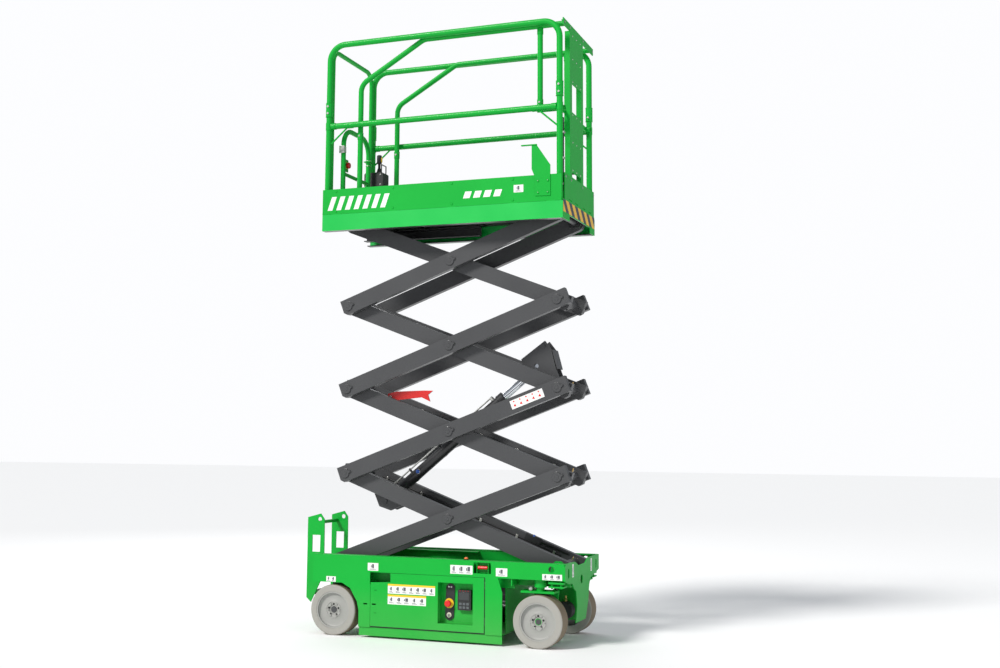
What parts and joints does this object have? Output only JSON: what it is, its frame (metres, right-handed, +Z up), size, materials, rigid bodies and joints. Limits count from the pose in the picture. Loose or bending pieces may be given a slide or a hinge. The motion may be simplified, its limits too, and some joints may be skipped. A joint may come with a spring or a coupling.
{
  "type": "scissor lift table",
  "caption": "Battery-driven scissor lift table: wheeled steel chassis, crossed arms raised by a hydraulic cylinder, and a railed work platform with a sliding deck extension.",
  "frame": {"origin": "on the floor, under the middle of the footprint", "axes": "+X towards the steering end, +Y towards the far side, +Z up"},
  "size_m": [1.784, 0.74, 3.7766],
  "materials": {
    "green_paint": "gloss paint",
    "dark_paint": "satin paint",
    "black_paint": "satin paint",
    "red_paint": "gloss paint",
    "zinc_steel": "zinc plated",
    "chrome_rod": "polished",
    "floor_steel": "tread plate",
    "black_plastic": "matt",
    "red_plastic": "gloss",
    "wear_block": "nylon",
    "tyre_rubber": "non-marking rubber",
    "rim_paint": "satin paint"
  },
  "bodies": {
    "chassis": {"chassis_frame": "green_paint", "end_plate": "green_paint", "ladder": "green_paint", "base_pivot_shaft": "zinc_steel", "battery_pack": "black_plastic", "power_unit": "black_paint", "rear_axle": "dark_paint"},
    "inner_1": {"inner_arms_1": "dark_paint"},
    "outer_1": {"outer_arms_1": "dark_paint", "pivot_pins_1": "dark_paint"},
    "inner_2": {"inner_arms_2": "dark_paint"},
    "outer_2": {"outer_arms_2": "dark_paint", "pivot_pins_2": "dark_paint"},
    "inner_3": {"inner_arms_3": "dark_paint"},
    "outer_3": {"outer_arms_3": "dark_paint", "pivot_pins_3": "dark_paint"},
    "inner_4": {"inner_arms_4": "dark_paint", "deck_slide_shaft": "zinc_steel"},
    "outer_4": {"outer_arms_4": "dark_paint", "pivot_pins_4": "dark_paint"},
    "lower_blocks": {"lower_slide_blocks": "wear_block"},
    "upper_blocks": {"upper_slide_blocks": "wear_block"},
    "cylinder_barrel": {"lift_cylinder": "black_paint"},
    "cylinder_rod": {"lift_rod": "chrome_rod"},
    "prop": {"safety_prop": "red_paint"},
    "near_door": {"control_door": "green_paint", "control_panel": "black_plastic"},
    "far_door": {"battery_door": "green_paint"},
    "ground_stop": {"ground_stop_button": "red_plastic"},
    "key": {"key_switch": "zinc_steel"},
    "lowering": {"lowering_handle": "red_plastic"},
    "near_guard": {"pothole_guard_near": "green_paint"},
    "far_guard": {"pothole_guard_far": "green_paint"},
    "near_knuckle": {"steering_knuckle_near": "green_paint", "drive_motor_near": "dark_paint"},
    "far_knuckle": {"steering_knuckle_far": "green_paint", "drive_motor_far": "dark_paint"},
    "steering_link": {"tie_rod": "zinc_steel"},
    "rear_near_wheel": {"wheel_rim_rear_near": "rim_paint", "tyre_rear_near": "tyre_rubber"},
    "rear_far_wheel": {"wheel_rim_rear_far": "rim_paint", "tyre_rear_far": "tyre_rubber"},
    "front_near_wheel": {"wheel_rim_front_near": "rim_paint", "tyre_front_near": "tyre_rubber"},
    "front_far_wheel": {"wheel_rim_front_far": "rim_paint", "tyre_front_far": "tyre_rubber"},
    "platform": {"deck_frame": "green_paint", "deck_floor": "floor_steel", "toeboards": "green_paint", "main_rails": "green_paint", "entry_frame": "green_paint", "control_box": "black_plastic", "tool_bracket": "green_paint"},
    "gate": {"swing_gate": "green_paint"},
    "stick": {"joystick": "black_plastic"},
    "platform_stop": {"platform_stop_button": "red_plastic"},
    "extension": {"extension_deck": "floor_steel", "extension_rails": "green_paint", "extension_front": "green_paint", "outlet_and_conduit": "black_plastic"}
  },
  "joints": [
    {"name": "lift", "type": "hinge", "parent": "chassis", "child": "inner_1", "pos_m": [0.8, 0, 0.449], "axis": [0, 1, 0], "range_deg": [-16.3, 40.2]},
    {"name": "centre_pivot_1", "type": "hinge", "parent": "inner_1", "child": "outer_1", "pos_m": [0.09888, 0, 0.71533], "axis": [0, 1, 0], "range_deg": [-80.45, 32.65]},
    {"name": "right_pivot_1", "type": "hinge", "parent": "outer_1", "child": "inner_2", "pos_m": [0.8, 0, 0.98166], "axis": [0, 1, 0], "range_deg": [-32.65, 80.45]},
    {"name": "centre_pivot_2", "type": "hinge", "parent": "inner_2", "child": "outer_2", "pos_m": [0.09888, 0, 1.24799], "axis": [0, 1, 0], "range_deg": [-80.45, 32.65]},
    {"name": "right_pivot_2", "type": "hinge", "parent": "outer_2", "child": "inner_3", "pos_m": [0.8, 0, 1.51432], "axis": [0, 1, 0], "range_deg": [-32.65, 80.45]},
    {"name": "centre_pivot_3", "type": "hinge", "parent": "inner_3", "child": "outer_3", "pos_m": [0.09888, 0, 1.78065], "axis": [0, 1, 0], "range_deg": [-80.45, 32.65]},
    {"name": "right_pivot_3", "type": "hinge", "parent": "outer_3", "child": "inner_4", "pos_m": [0.8, 0, 2.04698], "axis": [0, 1, 0], "range_deg": [-32.65, 80.45]},
    {"name": "centre_pivot_4", "type": "hinge", "parent": "inner_4", "child": "outer_4", "pos_m": [0.09888, 0, 2.31331], "axis": [0, 1, 0], "range_deg": [-80.45, 32.65]},
    {"name": "platform_pivot", "type": "hinge", "parent": "outer_4", "child": "platform", "pos_m": [0.8, 0, 2.57964], "axis": [0, 1, 0], "range_deg": [-16.35, 40.25]},
    {"name": "lower_block_pivot", "type": "hinge", "parent": "outer_1", "child": "lower_blocks", "pos_m": [-0.60224, 0, 0.449], "axis": [0, 1, 0], "range_deg": [-16.35, 40.25]},
    {"name": "upper_block_pivot", "type": "hinge", "parent": "inner_4", "child": "upper_blocks", "pos_m": [-0.60224, 0, 2.57964], "axis": [0, 1, 0], "range_deg": [-40.25, 16.35]},
    {"name": "cylinder_base_pivot", "type": "hinge", "parent": "inner_1", "child": "cylinder_barrel", "pos_m": [-0.41081, 0, 0.80411], "axis": [0, 1, 0], "range_deg": [-76.43, 31.02]},
    {"name": "cylinder_stroke", "type": "slide", "parent": "cylinder_barrel", "child": "cylinder_rod", "axis": [0.769, 0, 0.6393], "range_m": [-0.23691, 0.58355]},
    {"name": "safety_prop_swing", "type": "hinge", "parent": "inner_2", "child": "prop", "pos_m": [-0.34214, -0.1265, 1.46686], "axis": [0, 1, 0], "range_deg": [0, 70]},
    {"name": "near_door_hinge", "type": "hinge", "parent": "chassis", "child": "near_door", "pos_m": [0.397, -0.37, 0.23], "axis": [0, 0, 1], "range_deg": [0, 100]},
    {"name": "far_door_hinge", "type": "hinge", "parent": "chassis", "child": "far_door", "pos_m": [0.397, 0.37, 0.23], "axis": [0, 0, -1], "range_deg": [0, 100]},
    {"name": "ground_stop_press", "type": "slide", "parent": "near_door", "child": "ground_stop", "axis": [0, 1, 0], "range_m": [0, 0.004], "stiffness_N_per_m": 3000},
    {"name": "key_turn", "type": "hinge", "parent": "near_door", "child": "key", "pos_m": [0.153, -0.32, 0.157], "axis": [0, 1, 0], "range_deg": [-45, 45]},
    {"name": "lowering_pull", "type": "slide", "parent": "chassis", "child": "lowering", "axis": [0, -1, 0], "range_m": [0, 0.012], "stiffness_N_per_m": 1500},
    {"name": "pothole_guard_raise", "type": "slide", "parent": "chassis", "child": "near_guard", "axis": [0, 0, 1], "range_m": [0, 0.042]},
    {"name": "far_guard_raise", "type": "slide", "parent": "chassis", "child": "far_guard", "axis": [0, 0, 1], "range_m": [0, 0.042]},
    {"name": "steering", "type": "hinge", "parent": "chassis", "child": "near_knuckle", "pos_m": [0.724, -0.31, 0.37], "axis": [0, 0, 1], "range_deg": [-45, 45]},
    {"name": "far_steering", "type": "hinge", "parent": "chassis", "child": "far_knuckle", "pos_m": [0.724, 0.31, 0.37], "axis": [0, 0, 1], "range_deg": [-45, 45]},
    {"name": "tie_rod_pivot", "type": "hinge", "parent": "near_knuckle", "child": "steering_link", "pos_m": [0.664, -0.31, 0.334], "axis": [0, 0, 1], "range_deg": [-45, 45]},
    {"name": "rear_near_wheel_spin", "type": "hinge", "parent": "chassis", "child": "rear_near_wheel", "pos_m": [-0.6, -0.313, 0.1525], "axis": [0, 1, 0], "continuous": true},
    {"name": "rear_far_wheel_spin", "type": "hinge", "parent": "chassis", "child": "rear_far_wheel", "pos_m": [-0.6, 0.313, 0.1525], "axis": [0, 1, 0], "continuous": true},
    {"name": "front_near_wheel_spin", "type": "hinge", "parent": "near_knuckle", "child": "front_near_wheel", "pos_m": [0.724, -0.313, 0.1525], "axis": [0, 1, 0], "continuous": true},
    {"name": "front_far_wheel_spin", "type": "hinge", "parent": "far_knuckle", "child": "front_far_wheel", "pos_m": [0.724, 0.313, 0.1525], "axis": [0, 1, 0], "continuous": true},
    {"name": "gate_swing", "type": "hinge", "parent": "platform", "child": "gate", "pos_m": [-0.651, 0.126, 2.87964], "axis": [0, 0, 1], "range_deg": [0, 90]},
    {"name": "extension_slide", "type": "slide", "parent": "platform", "child": "extension", "axis": [1, 0, 0], "range_m": [0, 0.9]},
    {"name": "joystick_tilt", "type": "hinge", "parent": "platform", "child": "stick", "pos_m": [-0.61, 0.215, 3.01364], "axis": [0, 1, 0], "range_deg": [-20, 20], "stiffness_Nm_per_rad": 2},
    {"name": "platform_stop_press", "type": "slide", "parent": "gate", "child": "platform_stop", "axis": [-1, 0, 0], "range_m": [0, 0.004], "stiffness_N_per_m": 3000}
  ],
  "couplings": [
    {"joint": "centre_pivot_1", "follows": "lift", "ratio": -2},
    {"joint": "right_pivot_1", "follows": "lift", "ratio": 2},
    {"joint": "centre_pivot_2", "follows": "lift", "ratio": -2},
    {"joint": "right_pivot_2", "follows": "lift", "ratio": 2},
    {"joint": "centre_pivot_3", "follows": "lift", "ratio": -2},
    {"joint": "right_pivot_3", "follows": "lift", "ratio": 2},
    {"joint": "centre_pivot_4", "follows": "lift", "ratio": -2},
    {"joint": "platform_pivot", "follows": "lift", "ratio": 1},
    {"joint": "lower_block_pivot", "follows": "lift", "ratio": 1},
    {"joint": "upper_block_pivot", "follows": "lift", "ratio": -1},
    {"joint": "cylinder_base_pivot", "follows": "lift", "ratio": -1.9},
    {"joint": "cylinder_stroke", "follows": "lift", "m_per_rad": 0.831},
    {"joint": "far_guard_raise", "follows": "pothole_guard_raise", "ratio": 1},
    {"joint": "far_steering", "follows": "steering", "ratio": 1},
    {"joint": "tie_rod_pivot", "follows": "steering", "ratio": -1}
  ]
}
